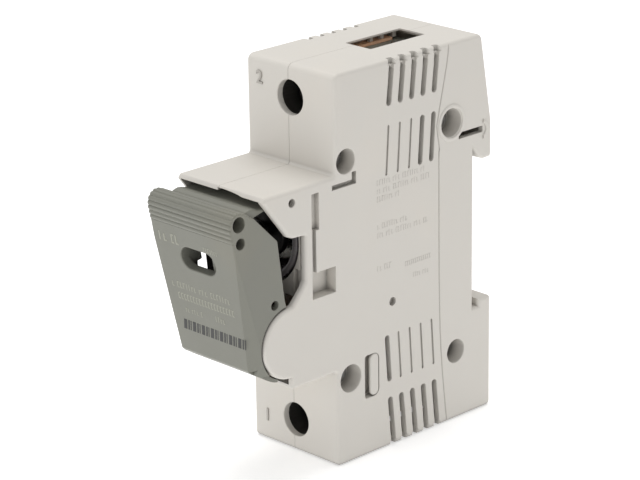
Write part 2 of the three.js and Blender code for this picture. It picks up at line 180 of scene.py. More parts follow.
def pocket(name, axis, points, deep, surface, f=0.2, seg=3, over=1.0, n=6):
    """A cutter from the surface down to deep, which leaves a rounded rim of radius f."""
    s = 1 if surface > deep else -1
    levels = [(outline(points, n), deep)]
    for k in range(seg + 1):
        a = math.pi / 2 * k / seg
        levels.append((outline(points, n, -(f - f * math.cos(a)) - 1e-4 * k), surface - s * (f - f * math.sin(a)) + s * 1e-3 * (k == seg)))
    levels.append((outline(points, n, -f - 1e-3), surface + s * over))
    return rings(name, axis, levels)


def circle(a, b, r, n=40):
    return [(a + r * math.cos(2 * math.pi * i / n), b + r * math.sin(2 * math.pi * i / n)) for i in range(n)]


def stadium(a0, a1, b0, b1, tilt=0.0):
    """A slot between b0 and b1 whose width is a1 - a0, with round ends; tilt moves its top along a."""
    r = (a1 - a0) / 2
    c = (a0 + a1) / 2
    pts = []
    for k in range(9):
        t = math.pi + math.pi * k / 8
        pts.append((c + r * math.cos(t), b0 + r + r * math.sin(t)))
    for k in range(9):
        t = math.pi * k / 8
        pts.append((c + tilt + r * math.cos(t), b1 - r + r * math.sin(t)))
    return pts


def lathe(name, axis, centre, profile, n=64):
    """A solid of revolution: profile is [(position along the axis, radius), ...] from end to end."""
    a, b = centre
    f = AXES[axis]
    bm = bmesh.new()
    rows = []
    for t, r in profile:
        if r < 1e-6:
            rows.append([bm.verts.new(f(a, b, t))])
        else:
            rows.append([bm.verts.new(f(p, q, t)) for p, q in circle(a, b, r, n)])
    for r0, r1 in zip(rows, rows[1:]):
        for i in range(n):
            j = (i + 1) % n
            quad = []
            for v in (r0[i % len(r0)], r0[j % len(r0)], r1[j % len(r1)], r1[i % len(r1)]):
                if v not in quad:
                    quad.append(v)
            if len(quad) > 2:
                bm.faces.new(quad)
    if len(rows[0]) > 1:
        bm.faces.new(rows[0][::-1])
    if len(rows[-1]) > 1:
        bm.faces.new(rows[-1])
    return make(name, bm)


def ring_solid(name, axis, centre, profile, n=72):
    """A ring of revolution: profile is a closed outline of (position, radius)."""
    a, b = centre
    f = AXES[axis]
    bm = bmesh.new()
    rows = [[bm.verts.new(f(p, q, t)) for p, q in circle(a, b, r, n)] for t, r in profile]
    m = len(rows)
    for k in range(m):
        r0, r1 = rows[k], rows[(k + 1) % m]
        for i in range(n):
            j = (i + 1) % n
            bm.faces.new((r0[i], r0[j], r1[j], r1[i]))
    return make(name, bm)


def block(name, x0, x1, y0, y1, z0, z1, r=0.0, seg=3):
    """A block with rounded edges."""
    bm = bmesh.new()
    bmesh.ops.create_cube(bm, size=1.0)
    for v in bm.verts:
        v.co = Vector((x0 + (x1 - x0) * (v.co.x + 0.5), y0 + (y1 - y0) * (v.co.y + 0.5), z0 + (z1 - z0) * (v.co.z + 0.5)))
    if r:
        bmesh.ops.bevel(bm, geom=list(bm.edges), offset=r, offset_type="OFFSET", segments=seg, profile=0.5, affect="EDGES", clamp_overlap=True)
    return make(name, bm)


def boolean(base, ops):
    """Applies a list of (operation, object) to base and removes the tools."""
    for op, tool in ops:
        m = base.modifiers.new("b", "BOOLEAN")
        m.operation = op
        m.object = tool
        m.solver = "MANIFOLD"
    bpy.context.view_layer.update()
    dg = bpy.context.evaluated_depsgraph_get()
    me = bpy.data.meshes.new_from_object(base.evaluated_get(dg))
    base.modifiers.clear()
    old = base.data
    base.data = me
    me.name = base.name
    bpy.data.meshes.remove(old)
    for _, tool in ops:
        tm = tool.data
        bpy.data.objects.remove(tool)
        if tm.users == 0:
            bpy.data.meshes.remove(tm)
    return base


def cut(base, *tools):
    return boolean(base, [("DIFFERENCE", t) for t in tools])


def add(base, *tools):
    return boolean(base, [("UNION", t) for t in tools])


def spin_x(ob, degrees, pivot=PIVOT):
    """Turns a mesh about the lever's pivot."""
    c = Vector((0, pivot[0], pivot[1]))
    ob.data.transform(Matrix.Translation(c) @ Matrix.Rotation(math.radians(degrees), 4, "X") @ Matrix.Translation(-c))
    return ob


def piece(ob, body, nodes, material, sharp=32.0):
    """Cleans a finished mesh, takes it to the row frame, shades it, and joins it to its CAD body."""
    bm = bmesh.new()
    bm.from_mesh(ob.data)
    bmesh.ops.remove_doubles(bm, verts=bm.verts, dist=2e-4)
    bmesh.ops.dissolve_degenerate(bm, dist=1e-4, edges=bm.edges)
    bmesh.ops.recalc_face_normals(bm, faces=bm.faces)
    bm.to_mesh(ob.data)
    bm.free()
    ob.data.transform(TO_ROW)
    for p in ob.data.polygons:
        p.use_smooth = True
    ob.data.set_sharp_from_angle(angle=math.radians(sharp))
    ob.data.materials.clear()
    ob.data.materials.append(material)
    wn = ob.modifiers.new("normals", "WEIGHTED_NORMAL")
    wn.keep_sharp = True
    wn.weight = 60
    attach(ob, body)
    if nodes:
        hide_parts(*([nodes] if isinstance(nodes, str) else nodes))
    return ob


# ------------------------------------------------------------------ materials
def nodes_of(name):
    m = bpy.data.materials.new(name)
    m.use_nodes = True
    nt = m.node_tree
    nt.nodes.clear()
    out = nt.nodes.new("ShaderNodeOutputMaterial")
    bsdf = nt.nodes.new("ShaderNodeBsdfPrincipled")
    nt.links.new(bsdf.outputs[0], out.inputs[0])
    tc = nt.nodes.new("ShaderNodeTexCoord")
    return m, nt, bsdf, tc.outputs["Object"]


def noise(nt, vec, scale, detail=3.0, rough=0.5, stretch=None):
    if stretch:
        mp = nt.nodes.new("ShaderNodeMapping")
        mp.inputs["Scale"].default_value = stretch
        nt.links.new(vec, mp.inputs["Vector"])
        vec = mp.outputs[0]
    n = nt.nodes.new("ShaderNodeTexNoise")
    n.inputs["Scale"].default_value = scale
    n.inputs["Detail"].default_value = detail
    n.inputs["Roughness"].default_value = rough
    nt.links.new(vec, n.inputs["Vector"])
    return n.outputs["Fac"]


def ramp(nt, fac, stops):
    r = nt.nodes.new("ShaderNodeValToRGB")
    e = r.color_ramp.elements
    while len(e) < len(stops):
        e.new(0.5)
    for el, (pos, col) in zip(e, stops):
        el.position = pos
        el.color = (*col, 1) if len(col) == 3 else col
    nt.links.new(fac, r.inputs[0])
    return r.outputs[0]


def mix(nt, fac, a, b, mode="MIX"):
    m = nt.nodes.new("ShaderNodeMix")
    m.data_type = "RGBA"
    m.blend_type = mode
    if isinstance(fac, float):
        m.inputs[0].default_value = fac
    else:
        nt.links.new(fac, m.inputs[0])
    for sock, v in ((m.inputs[6], a), (m.inputs[7], b)):
        if isinstance(v, tuple):
            sock.default_value = (*v, 1)
        else:
            nt.links.new(v, sock)
    return m.outputs[2]


def span(nt, fac, lo, hi, a=0.0, b=1.0):
    m = nt.nodes.new("ShaderNodeMapRange")
    m.inputs["From Min"].default_value = lo
    m.inputs["From Max"].default_value = hi
    m.inputs["To Min"].default_value = a
    m.inputs["To Max"].default_value = b
    nt.links.new(fac, m.inputs["Value"])
    return m.outputs[0]


def bump(nt, bsdf, *heights):
    """Chains height maps [(height, strength, distance in metres), ...] into the normal."""
    last = None
    for h, strength, dist in heights:
        b = nt.nodes.new("ShaderNodeBump")
        b.inputs["Strength"].default_value = strength
        b.inputs["Distance"].default_value = dist
        nt.links.new(h, b.inputs["Height"])
        if last:
            nt.links.new(last, b.inputs["Normal"])
        last = b.outputs[0]
    nt.links.new(last, bsdf.inputs["Normal"])


def lin(r, g, b):
    """sRGB 0-255 to linear."""
    return tuple((c / 255 / 12.92) if c / 255 <= 0.04045 else ((c / 255 + 0.055) / 1.055) ** 2.4 for c in (r, g, b))


def shade(col, k):
    return tuple(min(1, c * k) for c in col)


def painted_crevice_shade(nt, base, col, shade_reach, depth):
    """Painted shade: recesses and inner corners are mixed towards a dark copy of the colour by an ambient-occlusion
    mask, standing in for the shadow that falls there.
    """
    ao = nt.nodes.new("ShaderNodeAmbientOcclusion")
    ao.samples = 6
    ao.inputs["Distance"].default_value = shade_reach
    return mix(nt, span(nt, ao.outputs["AO"], 0.12, 0.85, depth, 0.0), base, shade(col, 0.10))


def moulded(name, col, rough=0.5, grain=0.25, spec=0.4, warm=None, flow=0.02, dust=0.0, deep=0.55, shade_reach=0.004):
    """Moulded plastic: a spark-eroded grain, slow colour drift, faint flow streaks and handling marks, with painted
    shade darkening its recesses and inner corners.
    """
    m, nt, bsdf, vec = nodes_of(name)
    slow = noise(nt, vec, 38.0, 4.0, 0.55)
    base = ramp(nt, slow, [(0.25, shade(col, 1 - flow)), (0.55, col), (0.85, shade(warm or col, 1 + flow))])
    speck = noise(nt, vec, 5200.0, 2.0, 0.7)
    base = mix(nt, span(nt, speck, 0.62, 0.78, 0.0, 0.10 + dust), base, shade(col, 0.72))
    streak = noise(nt, vec, 90.0, 3.0, 0.6, (1.0, 1.0, 0.16))
    base = mix(nt, span(nt, streak, 0.55, 0.8, 0.0, 0.10), base, shade(col, 0.93))
    # painted shade in recesses and inner corners
    base = painted_crevice_shade(nt, base, col, shade_reach, deep)
    nt.links.new(base, bsdf.inputs["Base Color"])
    fine = noise(nt, vec, 3600.0, 3.0, 0.62)
    wear = noise(nt, vec, 120.0, 5.0, 0.6)
    r = nt.nodes.new("ShaderNodeMath")
    r.operation = "ADD"
    nt.links.new(span(nt, wear, 0.3, 0.75, rough - 0.06, rough + 0.06), r.inputs[0])
    nt.links.new(span(nt, fine, 0.3, 0.7, -0.03, 0.05), r.inputs[1])
    nt.links.new(r.outputs[0], bsdf.inputs["Roughness"])
    bsdf.inputs["Specular IOR Level"].default_value = spec
    scratch = noise(nt, vec, 700.0, 4.0, 0.7, (1.0, 0.35, 2.6))
    bump(nt, bsdf, (fine, grain, 0.00005), (scratch, grain * 0.25, 0.00004), (wear, 0.10, 0.00008))
    return m


def metal(name, col, rough=0.32, along=(1.0, 1.0, 0.08), tarnish=None, amount=0.35, metallic=1.0):
    """Drawn or plated metal: fine lines along one direction, with uneven tarnish."""
    m, nt, bsdf, vec = nodes_of(name)
    lines = noise(nt, vec, 5200.0, 3.0, 0.7, along)
    patch = noise(nt, vec, 260.0, 5.0, 0.62)
    base = ramp(nt, lines, [(0.3, shade(col, 0.86)), (0.7, col)])
    base = mix(nt, span(nt, patch, 0.48, 0.74, 0.0, amount), base, tarnish or shade(col, 0.6))
    nt.links.new(base, bsdf.inputs["Base Color"])
    bsdf.inputs["Metallic"].default_value = metallic
    r = nt.nodes.new("ShaderNodeMath")
    r.operation = "ADD"
    nt.links.new(span(nt, patch, 0.35, 0.75, rough - 0.05, rough + 0.14), r.inputs[0])
    nt.links.new(span(nt, lines, 0.3, 0.7, -0.04, 0.05), r.inputs[1])
    nt.links.new(r.outputs[0], bsdf.inputs["Roughness"])
    bump(nt, bsdf, (lines, 0.22, 0.00004), (patch, 0.12, 0.00006))
    return m


def porcelain(name, col):
    m, nt, bsdf, vec = nodes_of(name)
    slow = noise(nt, vec, 60.0, 3.0, 0.5)
    base = ramp(nt, slow, [(0.3, shade(col, 0.96)), (0.7, col)])
    dots = noise(nt, vec, 1500.0, 2.0, 0.4)
    base = mix(nt, span(nt, dots, 0.70, 0.80, 0.0, 0.35), base, shade(col, 0.55))
    nt.links.new(base, bsdf.inputs["Base Color"])
    glaze = noise(nt, vec, 240.0, 3.0, 0.5)
    nt.links.new(span(nt, glaze, 0.3, 0.7, 0.14, 0.26), bsdf.inputs["Roughness"])
    bsdf.inputs["Coat Weight"].default_value = 0.35
    bsdf.inputs["Coat Roughness"].default_value = 0.08
    bump(nt, bsdf, (glaze, 0.10, 0.0001))
    return m


SHELL = lin(212, 208, 201)
LEVER = lin(127, 127, 118)
# in each moulded material, deep sets how dark the painted crevice shade goes and the reach distance how far it
# spreads
MAT = {
    "housing_plastic": moulded("shell_thermoset", SHELL, 0.50, 0.22, 0.38, lin(214, 208, 199), 0.012, deep=0.62, shade_reach=0.0019),
    "lever_plastic": moulded("lever_thermoset", LEVER, 0.44, 0.30, 0.42, lin(130, 128, 116), 0.02, deep=0.28, shade_reach=0.003),
    # painted shade: near-black plastic used only on the screw sleeves, so that the inside of the clamp screw holes
    # reads dark
    "black_plastic": moulded("sleeve_painted_shade", lin(54, 52, 49), 0.46, 0.30, 0.42, None, 0.05),
    # painted light: the fuse base block is coloured much lighter than its own mid-dark grey to make up for the shadow
    # it sits in, and its painted crevice shade is nearly off
    "base_plastic": moulded("block_painted_light", lin(186, 181, 173), 0.42, 0.26, 0.42, None, 0.04, deep=0.05),
    "ring_plastic": moulded("ring_thermoset", lin(108, 104, 104), 0.26, 0.16, 0.5, None, 0.05),
    "clip_plastic": moulded("clip_polyamide", lin(86, 86, 88), 0.48, 0.30, 0.4, None, 0.03),
    "red_plastic": moulded("gauge_polyamide", lin(168, 50, 38), 0.42, 0.25, 0.4, None, 0.04),
    "copper": metal("bare_copper", lin(255, 208, 172), 0.46, (0.08, 1.0, 1.0), lin(216, 152, 112), 0.30, 0.25),
    "silver_plate": metal("silver_plate", lin(214, 211, 204), 0.26, (1.0, 1.0, 0.1), lin(150, 140, 118), 0.35),
    "spring_steel": metal("spring_steel", lin(172, 173, 174), 0.30, (1.0, 1.0, 0.1), lin(110, 108, 104), 0.35),
    "zinc_steel": metal("zinc_steel", lin(214, 214, 206), 0.38, (1.0, 0.1, 1.0), lin(160, 156, 138), 0.35, 0.55),
    "ceramic": porcelain("porcelain", lin(240, 236, 226)),
}
# dark steel for the clamp screws, darkened further as painted shade for the shadow deep in the screw holes
DARK_STEEL_AND_SHADE = metal("dark_steel_painted_shade", lin(128, 127, 124), 0.34, (1.0, 0.2, 1.0), lin(44, 43, 42), 0.6)
# painted shade: a darkened copy of the silver plate, for the contact spring and cap deep inside the lever
SHADED_SILVER = metal("silver_painted_shade", lin(74, 73, 71), 0.40, (1.0, 1.0, 0.1), lin(34, 33, 31), 0.5)
CARRIER = moulded("carrier_thermoset", lin(84, 82, 80), 0.44, 0.30, 0.42, None, 0.04, deep=0.15)
PRINT = moulded("pad_print_ink", lin(50, 50, 49), 0.38, 0.15, 0.45, None, 0.04, deep=0.1)
FAINT = moulded("laser_mark", lin(163, 163, 150), 0.5, 0.3, 0.3, None, 0.05, deep=0.1)
DIGIT = moulded("digit_mark", lin(182, 178, 171), 0.55, 0.3, 0.3, None, 0.03, deep=0.5)


# ------------------------------------------------------------------ housing shells
def arc(R, a0, a1, n):
    return [(PIVOT[0] + R * math.cos(math.radians(a0 + (a1 - a0) * i / n)), PIVOT[1] + R * math.sin(math.radians(a0 + (a1 - a0) * i / n))) for i in range(n + 1)]


SIDE = [
    (0, 0, 1.0), (0, 22.5, 0.6), (-13.5, 22.5, 0.35), (-13.5, PIVOT[1] - EAR_R),
    *arc(EAR_R, 264, 98, 40),
    (-13.1, 41.5, 1.2), (-10.2, 44.6, 0.8), (-9.1, 46.3, 0.8), (-9.0, 56.4, 0.35), (-12.5, 56.6, 1.2), (-14.1, 57.3, 1.2),
    (-21.3, 66.5, 0.3), (-20.6, 67.5, 0.5), (0, 67.5, 0.7), (0, 90, 1.6), (46.6, 90, 1.6),
    (50, 69.3, 2.0), (50, 60.65, 0.8), (47.4, 60.6, 0.8), (45.7, 61.3, 0.6), (44, 63.4),
    (44, 25.5), (45.8, 25.5), (45.8, 27.25), (50, 27.25, 0.7), (50, 0, 1.0),
]
CAVITY = [
    (1.6, 1.5), (1.6, 24.0), (-8, 24.0), (-8, 23.3), (-32, 23.3), (-32, 66.6), (-17, 66.6), (-17, 66.0),
    (1.6, 66.0), (1.6, 88.5), (45.1, 88.5), (48.4, 69.0), (48.4, 65.0), (42.4, 65.0), (42.4, 1.5),
]
# four rows of louvres, five columns each: (z0, z1, y at z0, y at z1, which are open)
ROWS = [
    (79.7, 94.0, 16.7, 18.1, (0, 1, 2, 3, 4)),
    (64.1, 75.4, 15.75, 16.5, (3, 4)),
    (15.6, 26.8, 16.4, 15.7, (0,)),
    (-4.0, 11.8, 18.0, 16.6, (0, 1, 2, 3, 4)),
]
PITCH = 3.58
STEP_LINE = [(35.7, 92.0), (35.2, 86.2), (32.2, 73.6), (31.9, 71.0), (32.6, 66.6), (32.5, 61.5), (32.9, 23.3), (35.3, -1.5)]


def strip_path(name, axis_x0, axis_x1, pts, w):
    """A thin prism along a polyline in (y, z), w wide, for the parting groove on the side."""
    left, right = [], []
    n = len(pts)
    for i, p in enumerate(pts):
        a = Vector(pts[max(0, i - 1)])
        b = Vector(pts[min(n - 1, i + 1)])
        d = (b - a).normalized()
        nrm = Vector((-d.y, d.x)) * (w / 2)
        left.append((p[0] + nrm.x, p[1] + nrm.y))
        right.append((p[0] - nrm.x, p[1] - nrm.y))
    poly = left + right[::-1]
    area = sum(a[0] * b[1] - b[0] * a[1] for a, b in zip(poly, poly[1:] + poly[:1]))
    if area < 0:
        poly = poly[::-1]
    return rings(name, "x", [(inset(poly, w * 0.42), axis_x0), (poly, axis_x1 - 0.02), (poly, axis_x1 + 0.6)])


def smooth_line(pts, sub=6):
    """Catmull-Rom through points."""
    out = []
    for i in range(len(pts) - 1):
        p0 = Vector(pts[max(0, i - 1)])
        p1, p2 = Vector(pts[i]), Vector(pts[i + 1])
        p3 = Vector(pts[min(len(pts) - 1, i + 2)])
        for k in range(sub):
            t = k / sub
            q = 0.5 * ((2 * p1) + (p2 - p0) * t + (2 * p0 - 5 * p1 + 4 * p2 - p3) * t * t + (3 * p1 - p0 - 3 * p2 + p3) * t ** 3)
            out.append((q.x, q.y))
    out.append(pts[-1])
    return out


def nose_gap(y, w, x0, z0, z1):
    """The gap between two louvre ribs where they end in rounded noses at the edge of the housing."""
    r = PITCH / 2 - w - 0.02
    c = HALF - r * 0.9
    near = [(c + r * math.sin(math.radians(t)), y - w - r + r * math.cos(math.radians(t))) for t in range(0, 91, 10)]
    far = [(p[0], 2 * y - p[1]) for p in near[::-1]]
    return prism("c", "z", [(x0, y - w, 0.5)] + near + [(16, near[-1][1]), (16, far[0][1])] + far + [(x0, y + w, 0.5)], z0, z1, 0.0, 0.0)


def shell(name, seam, cable_x, lug):
    """The right-hand shell, from its seam to x = 13.5; the left one is its mirror."""
    s = prism(name, "x", SIDE, seam, HALF, 0.10, 0.85, seg=5, n=8)
    tools = [("DIFFERENCE", prism("c", "x", CAVITY, seam - 3, WALL_X))]
    for b in RIVETS.values():
        y, z, r, boss = b
        x1 = WALL_X + 0.3
        inner = [(0.8, 0.8), (0.8, 89.2), (45.4, 89.2), (48.9, 69), (48.9, 64.2), (43.2, 64.2), (43.2, 0.8)]
        c = prism("c", "x", circle(y, z, boss, 48), 7.5, x1)
        boolean(c, [("INTERSECT", prism("c", "x", inner, 7.0, x1 + 1))])
        tools.append(("UNION", c))
    tools.append(("UNION", block("c", seam + 0.01, WALL_X + 0.2, 1.2, 42.8, 72.8, 74.2)))
    tools.append(("UNION", block("c", seam + 0.01, WALL_X + 0.2, 1.2, 32.0, 17.0, 18.4)))
    tools.append(("UNION", block("c", 10.6, WALL_X + 0.2, 7.4, 14.4, 12.4, 25.0)))
    tools.append(("UNION", block("c", 9.9, WALL_X + 0.2, -7.9, 0.6, 40.4, 48.1)))
    tools.append(("UNION", block("c", 11.9, WALL_X + 0.2, -7.9, -4.1, 56.0, 66.3)))
    tools.append(("UNION", lathe("c", "x", PIVOT, [(11.7, 2.8), (11.8, 3.0), (12.3, 3.0)], 40)))
    tools.append(("DIFFERENCE", block("c", seam - 1, 4.7, 22.8, 26.2, 16, 75)))
    tools.append(("DIFFERENCE", block("c", seam - 1, 7.6, 44.5, 48.3, -1, 28)))
    if lug:
        tools.append(("UNION", block("c", seam + 0.01, 1.8, 44.2, 47.5, 11.8, 13.0)))
    tools.append(("DIFFERENCE", prism("c", "x", circle(*PIVOT, 1.8, 32), 11, 12.8)))
    # recesses, each with a softly rounded rim
    for y, z, r, boss in RIVETS.values():
        tools.append(("DIFFERENCE", pocket("c", "x", circle(y, z, r, 56), 9.0, HALF, 0.22)))
        tools.append(("DIFFERENCE", prism("c", "x", circle(y, z, 1.3, 20), 7, 9.5)))
    # clamp screw holes through the front wall
    for z in SCREW_Z.values():
        tools.append(("DIFFERENCE", pocket("c", "y", circle(0, z, 3.95, 64), 3.0, 0.0, 0.25)))
    # cable windows, thinned from inside so that only a narrow lip is left
    for z0, z1 in ((87.0, HEIGHT), (3.0, 0.0)):
        x0 = seam - 3
        tools.append(("DIFFERENCE", pocket("c", "z", [(x0, 20.4), (cable_x, 20.4, 0.4), (cable_x, 37.7, 0.4), (x0, 37.7)], z0, z1, 0.12)))
        inner = sorted((z0, z1 - 0.45 if z1 > 50 else z1 + 0.45))
        tools.append(("DIFFERENCE", prism("c", "z", [(x0, 18.6), (cable_x + 2.4, 18.6), (cable_x + 2.4, 39.6), (x0, 39.6)], inner[0], inner[1])))
    # oblong pocket
    tools.append(("DIFFERENCE", pocket("c", "x", [(8.6, 13.6, 0.7), (13.1, 13.6, 1.6), (13.1, 23.8, 1.6), (8.6, 23.8, 0.7)], 11.7, HALF, 0.18)))
    tools.append(("DIFFERENCE", block("c", 10.95, 12.5, 8.8, 12.9, 13.9, 23.5)))
    # louvres
    for z0, z1, y0, y1, wide in ROWS:
        for c in range(5):
            dy = c * PITCH
            is_wide = c in wide
            w = (0.76 if z0 < 0 or z1 > HEIGHT else 0.70) if is_wide else 0.30
            tilt = y1 - y0
            slope = tilt / (z1 - z0)
            y_at = lambda z: y0 + dy + slope * (z - z0)
            deep = WALL_X - 0.4 if is_wide else HALF - 0.38
            if z1 > HEIGHT:
                # runs out over the top edge as a shallow finger
                tools.append(("DIFFERENCE", pocket("c", "x", stadium(y_at(z0) - w, y_at(z0) + w, z0, 88.4, slope * (88.4 - z0)), deep, HALF, 0.16)))
                tools.append(("DIFFERENCE", prism("c", "x", stadium(y_at(86) - w * 1.05, y_at(86) + w * 1.05, 86.0, 96.0, slope * 10), 12.62, 16, 0.25, 0)))
                tools.append(("DIFFERENCE", nose_gap(y_at(90), w, 12.0 if lug else 11.2, 88.7, 92)))
            elif z0 < 0:
                tools.append(("DIFFERENCE", pocket("c", "x", stadium(y_at(1.4) - w, y_at(1.4) + w, 1.4, z1, slope * (z1 - 1.4)), deep, HALF, 0.16)))
                tools.append(("DIFFERENCE", prism("c", "x", stadium(y_at(-4) - w * 1.05, y_at(-4) + w * 1.05, -4.0, 5.0, slope * 9), 11.75, 16, 0.25, 0)))
                tools.append(("DIFFERENCE", nose_gap(y_at(0), w, 12.0, -2, 1.1)))
            else:
                tools.append(("DIFFERENCE", pocket("c", "x", stadium(y0 + dy - w, y0 + dy + w, z0, z1, tilt), deep, HALF, 0.16 if is_wide else 0.12)))
    # nose wall: slot, groove, pocket, L-shaped slot, pin holes
    tools.append(("DIFFERENCE", pocket("c", "x", [(-7.1, 56.9, 0.1), (-4.9, 56.9, 0.1), (-4.9, 65.2, 0.1), (-7.1, 65.2, 0.1)], 12.15, HALF, 0.12)))
    tools.append(("DIFFERENCE", pocket("c", "x", [(-7.05, 47.0), (-5.9, 47.0), (-5.9, 57.2), (-7.05, 57.2)], HALF - 0.9, HALF, 0.1)))
    tools.append(("DIFFERENCE", pocket("c", "x", [(-7.1, 41.4, 0.1), (-0.1, 41.4, 0.1), (-0.1, 47.3, 0.1), (-7.1, 47.3, 0.1)], 10.5, HALF, 0.12)))
    tools.append(("DIFFERENCE", pocket("c", "x", [(-0.9, 64.6, 0.1), (6.4, 64.6, 0.1), (6.4, 67.4, 0.1), (5.1, 67.4, 0.1), (5.1, 65.7, 0.1), (-0.9, 65.7, 0.1)], HALF - 1.2, HALF, 0.12)))
    tools.append(("DIFFERENCE", pocket("c", "x", circle(17.5, 34.4, 1.0, 28), HALF - 1.1, HALF, 0.12)))
    tools.append(("DIFFERENCE", pocket("c", "x", circle(-12.84, 64.69, 0.95, 28), WALL_X - 0.4, HALF, 0.15)))
    tools.append(("DIFFERENCE", pocket("c", "x", [(39.0, 67.15, 0.15), (46.9, 67.15, 0.15), (46.9, 68.6, 0.15), (39.0, 68.6, 0.15)], 11.0, HALF, 0.12)))
    # parting groove of the rear side panel
    tools.append(("DIFFERENCE", strip_path("c", HALF - 0.22, HALF, smooth_line(STEP_LINE), 0.42)))
    # the hood's lip is arched from below over its middle, with a step at one end
    arch = [(-2.0, 64), (-0.5, 64), (-0.5, 67.06), (1.5, 67.06), (3.5, 66.98), (5.5, 66.83), (7.0, 66.62), (7.6, 66.4), (7.6, 64)] if lug else [(-2.0, 64), (0.4, 64), (0.4, 66.6), (0.9, 67.0), (-2.0, 67.05)]
    tools.append(("DIFFERENCE", prism("c", "y", arch, -22, -18.2)))
    boolean(s, tools)
    # raised collar round the upper rear recess, and the raised crescent by the hook slot
    prof = [(HALF - 0.3, 3.47), (HALF + 0.12, 3.47), (HALF + 0.22, 3.57), (HALF + 0.25, 3.75), (HALF + 0.24, 4.0), (HALF + 0.16, 4.22), (HALF - 0.02, 4.34), (HALF - 0.3, 4.36)]
    add(s, ring_solid("c", "x", (36.6, 71.5), prof, 72))
    crescent = ring_solid("c", "x", (46.2, 67.85), [(HALF - 0.3, 1.6), (HALF + 0.1, 1.6), (HALF + 0.3, 1.75), (HALF + 0.34, 2.0), (HALF + 0.26, 2.3), (HALF - 0.02, 2.5), (HALF - 0.3, 2.52)], 56)
    boolean(crescent, [("INTERSECT", block("c", 12, 15, 46.95, 49.6, 64, 72))])
    add(s, crescent)
    return s


right = shell("housing_right", SEAM + 0.02, 4.4, True)
left = shell("housing_left", -SEAM + 0.02, 3.4, False)
left.data.transform(Matrix.Scale(-1, 4, (1, 0, 0)))
left.data.flip_normals()
# ribs beside the cable windows
ribs = []
for y in (29.9, 33.3, 37.2):
    ribs.append(block("c", -5.6, -4.6, y - 0.55, y + 0.55, 87.9, 89.52, 0.1))
add(left, *ribs)
piece(right, "housing", "housing_right_shell", MAT["housing_plastic"])
piece(left, "housing", "housing_left_shell", MAT["housing_plastic"])


# terminal numbers, raised on the front
def mark(name, text, x, z, size):
    cu = bpy.data.curves.new(name, "FONT")
    cu.body = text
    cu.size = size
    cu.extrude = 0.17
    cu.bevel_depth = 0.05
    cu.bevel_resolution = 1
    cu.align_x = "CENTER"
    cu.resolution_u = 8
    tmp = bpy.data.objects.new(name + "_c", cu)
    scene.collection.objects.link(tmp)
    bpy.context.view_layer.update()
    me = bpy.data.meshes.new_from_object(tmp.evaluated_get(bpy.context.evaluated_depsgraph_get()))
    bpy.data.objects.remove(tmp)
    bpy.data.curves.remove(cu)
    ob = bpy.data.objects.new(name, me)
    scene.collection.objects.link(ob)
    ob.data.transform(Matrix.Translation((x, -0.05, z)) @ Matrix.Rotation(math.pi / 2, 4, "X"))
    return ob


piece(mark("terminal_mark_2", "2", -9.35, 83.95, 4.2), "housing", None, DIGIT)
piece(mark("terminal_mark_1", "1", -9.1, 4.7, 4.2), "housing", None, DIGIT)


def dashes(name, rows, place, h=0.07):
    """Rows of small raised dashes that stand where writing is; place maps (u, v, lift) to millimetres."""
    bm = bmesh.new()
    for u0, u1, v, size, seed in rows:
        u = u0
        k = seed
        while u < u1 - size * 0.3:
            k = (k * 7 + 3) % 11
            w = size * (0.32 + 0.05 * (k % 4))
            top = v + size * (1.0 if k % 3 else 0.8)
            stroke = size * 0.16
            boxes = [(u, u + stroke, v, top)]
            if k % 2:
                boxes.append((u + stroke + 0.02, u + w, top - stroke, top))
            if k % 5 < 2:
                boxes.append((u + stroke + 0.02, u + w, v, v + stroke))
            for a0, a1, b0, b1 in boxes:
                vs = [bm.verts.new(place(a, b, l)) for l in (-h, h) for a, b in ((a0, b0), (a1, b0), (a1, b1), (a0, b1))]
                for q in ((0, 3, 2, 1), (4, 5, 6, 7), (0, 1, 5, 4), (1, 2, 6, 5), (2, 3, 7, 6), (3, 0, 4, 7)):
                    bm.faces.new([vs[i] for i in q])
            u += w + size * (0.22 if k % 6 else 0.7)
    return make(name, bm)


side_rows = [
    (12.8, 28.6, 62.4, 1.25, 1), (12.8, 29.6, 60.5, 1.25, 4), (12.8, 20.0, 58.6, 1.25, 6),
    (12.9, 22.6, 52.3, 1.25, 2), (12.9, 28.8, 50.3, 1.25, 8),
    (12.8, 17.2, 42.6, 1.25, 3), (21.6, 29.8, 41.6, 1.1, 5), (24.2, 29.4, 38.4, 1.1, 7),
]
piece(dashes("side_marking", side_rows, lambda a, b, l: (HALF + l * 0.8, a, b)), "housing", None, MAT["housing_plastic"])


# ------------------------------------------------------------------ lever
def front_y(z):
    return -30.2 + (63 - z) * 0.1851


